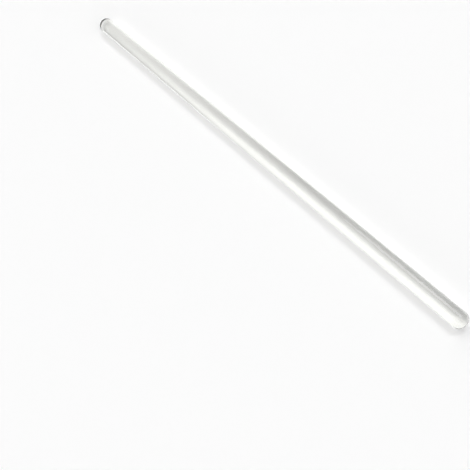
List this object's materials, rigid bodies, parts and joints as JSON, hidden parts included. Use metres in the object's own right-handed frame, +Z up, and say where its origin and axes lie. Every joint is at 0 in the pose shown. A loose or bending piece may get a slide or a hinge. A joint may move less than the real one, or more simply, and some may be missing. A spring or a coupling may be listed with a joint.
{
  "type": "glass stirring rod",
  "caption": "Slim straight rod of clear solid glass with fire-polished, bluntly rounded ends, for stirring and for guiding a pour.",
  "frame": {"origin": "on the surface that the rod lies on, under the middle of its length", "axes": "+X runs parallel to the rod's own axis, which lies 3.15 mm above the origin, and +Z is up"},
  "size_m": [0.2, 0.0062, 0.0063],
  "materials": {
    "clear_glass": "clear, colourless, fire polished smooth"
  },
  "bodies": {
    "root": {"rod": "clear_glass"}
  },
  "joints": []
}
